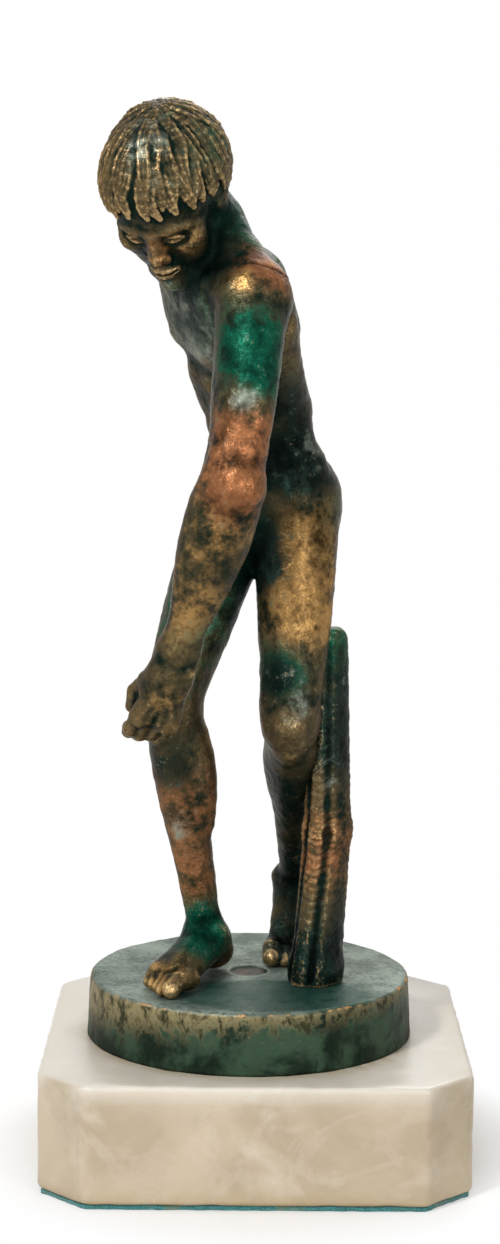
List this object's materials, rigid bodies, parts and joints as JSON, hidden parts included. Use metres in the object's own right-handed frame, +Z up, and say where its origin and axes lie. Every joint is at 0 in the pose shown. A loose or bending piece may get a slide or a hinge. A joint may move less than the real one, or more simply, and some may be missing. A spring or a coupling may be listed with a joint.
{
  "type": "bronze statuette",
  "caption": "Patinated bronze figure of an athlete leaning forward in stride beside a tree stump, on a round plinth bolted to a marble block with clipped corners.",
  "frame": {"origin": "centre of the felt's underside, where the statuette stands", "axes": "+Z up; the block's front faces -Y, and the figure strides towards the front left"},
  "size_m": [0.09, 0.1054, 0.2229],
  "materials": {
    "figure_bronze": "rubbed brown and green patina",
    "stump_bronze": "dark green patina",
    "plinth_bronze": "grey-green patina",
    "fixings": "plain brass",
    "marble": "polished cream stone",
    "felt": "felt"
  },
  "bodies": {
    "root": {"felt_pad": "felt", "marble_block": "marble", "base_nut": "fixings", "base_washer": "fixings", "base_stud": "plinth_bronze", "plinth": "plinth_bronze", "tenon_nuts": "fixings", "tenon_washers": "fixings", "tree_stump": "stump_bronze", "figure_body": "figure_bronze", "left_arm": "figure_bronze", "right_arm": "figure_bronze", "cross_pins": "figure_bronze"}
  },
  "joints": []
}
